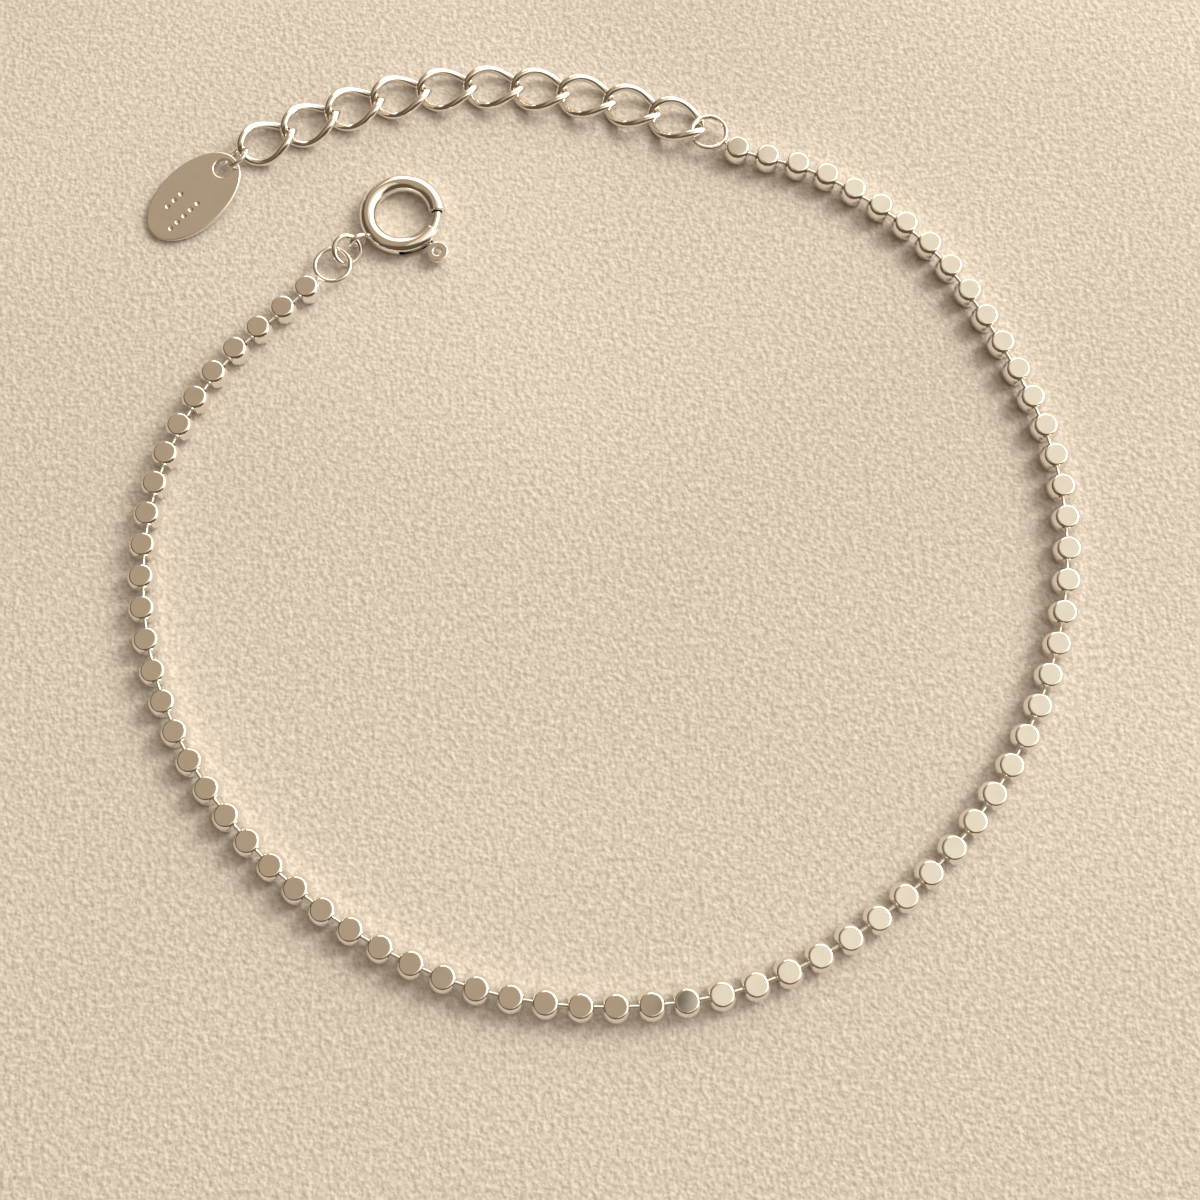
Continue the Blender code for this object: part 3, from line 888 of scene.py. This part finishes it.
# %% The hollow tube
CLASP_OUTER = 5.8 * MM
CLASP_TUBE = 1.15 * MM
CLASP_WALL = 0.21 * MM
GAP_TIP_SIDE = math.radians(1)
GAP_TRIGGER_SIDE = math.radians(-33)
BOLT_TIP = math.radians(5)
BOLT_TAIL = math.radians(-80)
BOLT_TRAVEL = math.radians(38)
BOLT_CLEARANCE = 0.08 * MM
BOLT_WIRE = CLASP_TUBE - 2 * (CLASP_WALL + BOLT_CLEARANCE)
TRIGGER_ANGLE = math.radians(-52.4)
TRIGGER_OUTER = 1.44 * MM
TRIGGER_HOLE = 0.56 * MM
TRIGGER_THICKNESS = 0.4 * MM
TRIGGER_ROLL = 0.08 * MM
TRIGGER_STANDOFF = 0.1 * MM
TRIGGER_NECK = 0.3 * MM
SLOT_CLEARANCE = 0.07 * MM
LIP_ROUNDING = 0.05 * MM
clasp_centre = Vector(frame["joints"][0]["pos_m"])
clasp_radius = (CLASP_OUTER - CLASP_TUBE) / 2


def arc(start, end, steps, radius=clasp_radius):
    return [radius * flat_direction(start + (end - start) * i / steps) for i in range(steps + 1)]


def tube_skin(start, end, steps=96, sides=28):
    bm = bmesh.new()
    path = arc(start, end, steps)
    ups = [UP] * len(path)
    outer = skin(bm, path, ups, round_profile(CLASP_TUBE / 2, sides), caps=False)
    inner = skin(bm, path, ups, round_profile(CLASP_TUBE / 2 - CLASP_WALL, sides), caps=False)
    lips = []
    for out_loop, in_loop in ((outer[0], inner[0]), (outer[-1], inner[-1])):
        for j in range(sides):
            k = (j + 1) % sides
            bm.faces.new((out_loop[j], out_loop[k], in_loop[k], in_loop[j]))
        lips += [bm.edges.get((out_loop[j], out_loop[(j + 1) % sides])) for j in range(sides)]
    bmesh.ops.bevel(bm, geom=lips, offset=LIP_ROUNDING, segments=3, profile=0.5, affect="EDGES")
    return bm


clasp = make_piece("clasp_tube", tube_skin(GAP_TIP_SIDE, GAP_TRIGGER_SIDE + 2 * math.pi), clasp_silver)
print("clasp tube:", triangles(clasp), "triangles")

# %% [markdown]
# The trigger's neck needs a slot in the tube's outer wall, as long as the bolt's travel. The slot is a
# curved slab, cut away. Then the bail, the small closed ring on the clasp's side, is soldered on upright.

# %% The slot and the bail
BAIL_OUTER = 1.49 * MM
BAIL_WIRE = 0.32 * MM
BAIL_SINK = 0.1 * MM
BAIL_LIFT = 0.06 * MM
CLASP_DIRECTION = math.radians(32.2)


def slab(inner, outer, thickness):
    """A flat slab between two arcs."""
    bm = bmesh.new()
    outline = inner + outer
    low = [bm.verts.new(point - UP * thickness / 2) for point in outline]
    high = [bm.verts.new(point + UP * thickness / 2) for point in outline]
    count = len(outline)
    for j in range(count):
        k = (j + 1) % count
        bm.faces.new((low[j], low[k], high[k], high[j]))
    bm.faces.new(low[::-1])
    bm.faces.new(high)
    return bm


half_neck = (TRIGGER_NECK / 2 + SLOT_CLEARANCE) / clasp_radius
slot_start = TRIGGER_ANGLE + half_neck
slot_end = TRIGGER_ANGLE - BOLT_TRAVEL - half_neck
slot_tool = make_piece(
    "slot_tool",
    slab(arc(slot_start, slot_end, 16), arc(slot_end, slot_start, 16, CLASP_OUTER / 2 + CLASP_WALL),
         TRIGGER_NECK + 2 * SLOT_CLEARANCE),
    clasp_silver,
)
solid_change(clasp, "DIFFERENCE", slot_tool)

towards_clasp = flat_direction(CLASP_DIRECTION)
bail_distance = CLASP_OUTER / 2 - BAIL_SINK + BAIL_OUTER / 2
bail_place = UP * (BAIL_LIFT + BAIL_OUTER / 2 - clasp_centre.z) - towards_clasp * bail_distance
bail_bm = bmesh.new()
ring_skin(bail_bm, bail_place, BAIL_OUTER, BAIL_WIRE, towards_clasp, UP.cross(towards_clasp))
solid_change(clasp, "UNION", make_piece("bail", bail_bm, clasp_silver))
apply_place(clasp, Matrix.Translation(clasp_centre))
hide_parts("clasp_ring")
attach(clasp, "bracelet")
print("clasp:", triangles(clasp), "triangles")

# %% [markdown]
# ## The jump ring
#
# A separate ring of thicker wire joins the strand's end ring to the bail. It hangs loose in both, and so it
# leans, with one edge on the table.

# %% The leaning jump ring
JOIN_DIRECTION = math.radians(46.6)
JUMP_OUTER = 2.2 * MM
JUMP_WIRE = 0.38 * MM
JUMP_DIRECTION = math.radians(54.2)
JUMP_TILT = math.radians(12.1)
JUMP_LEAN = math.radians(39.1)
CHAIN_SLACK = 0.3 * MM

jump_radius = (JUMP_OUTER - JUMP_WIRE) / 2
jump_reach = ring_radius + jump_radius - (JUMP_WIRE + END_RING_WIRE) / 2 - CHAIN_SLACK
jump_place = strand_route[0] + flat_direction(JOIN_DIRECTION) * jump_reach
jump_axis = flat_direction(JUMP_DIRECTION) * math.cos(JUMP_TILT) + UP * math.sin(JUMP_TILT)
jump_normal = leaning_normal(jump_axis, JUMP_LEAN)
jump_place.z = JUMP_WIRE / 2 + jump_radius * math.sqrt(1 - jump_normal.z ** 2)
jump_bm = bmesh.new()
ring_skin(jump_bm, jump_place, JUMP_OUTER, JUMP_WIRE, jump_axis, jump_normal)
jump_ring = make_piece("jump_loop", jump_bm, jump_silver)
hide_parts("jump_ring")
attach(jump_ring, "bracelet")
print("jump ring:", triangles(jump_ring), "triangles")

# %% [markdown]
# ## The bolt
#
# The bolt is a curved pin with a domed tip, and a small eye on a neck to push it with. It rides on its own
# body, so it slides into the tube when the joint turns.

# %% The pin and its eye
def domed(start, end, steps, radius, dome_steps=6):
    """Path and sizes of a curved pin whose far end is rounded."""
    path = arc(start, end, steps)
    sizes = [1.0] * len(path)
    tip = path[-1]
    ahead = (path[-1] - path[-2]).normalized()
    for i in range(1, dome_steps + 1):
        turn = math.pi / 2 * i / dome_steps
        path.append(tip + ahead * radius * math.sin(turn))
        sizes.append(max(math.cos(turn), 0.02))
    return path, sizes


pin_radius = BOLT_WIRE / 2
pin_end = BOLT_TIP - pin_radius / clasp_radius
pin_path, pin_sizes = domed(BOLT_TAIL, pin_end, 40, pin_radius)
bolt_bm = bmesh.new()
skin(bolt_bm, pin_path, [UP] * len(pin_path), round_profile(pin_radius, 24), sizes=pin_sizes)
bolt = make_piece("bolt_pin", bolt_bm, bolt_silver)
out = flat_direction(TRIGGER_ANGLE)
eye_distance = CLASP_OUTER / 2 + TRIGGER_STANDOFF + TRIGGER_OUTER / 2
neck_bm = bmesh.new()
neck_path = [out * clasp_radius, out * (eye_distance - (TRIGGER_OUTER + TRIGGER_HOLE) / 4)]
skin(neck_bm, neck_path, [UP, UP], round_profile(TRIGGER_NECK / 2, 16))
solid_change(bolt, "UNION", make_piece("neck", neck_bm, bolt_silver))
washer = plate_mesh(
    [oval(TRIGGER_OUTER / 2, TRIGGER_OUTER / 2, 64), oval(TRIGGER_HOLE / 2, TRIGGER_HOLE / 2, 40)],
    TRIGGER_THICKNESS, TRIGGER_ROLL,
)
eye_bm = bmesh.new()
eye_bm.from_mesh(washer)
bmesh.ops.remove_doubles(eye_bm, verts=eye_bm.verts, dist=1e-7)
bmesh.ops.translate(eye_bm, verts=eye_bm.verts, vec=out * eye_distance)
solid_change(bolt, "UNION", make_piece("eye", eye_bm, bolt_silver))
flatten_faces(bolt)
apply_place(bolt, Matrix.Translation(clasp_centre))
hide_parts("clasp_bolt")
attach(bolt, "bolt")
print("bolt:", triangles(bolt), "triangles")

# %% Compare the finished box with the measured one, and finish
finished_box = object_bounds()
sizes = {
    "measured": [list(corner) for corner in measured_box],
    "finished": [list(corner) for corner in finished_box],
}
for label, (low, high) in sizes.items():
    print(label, [round((b - a) / MM, 2) for a, b in zip(low, high)])
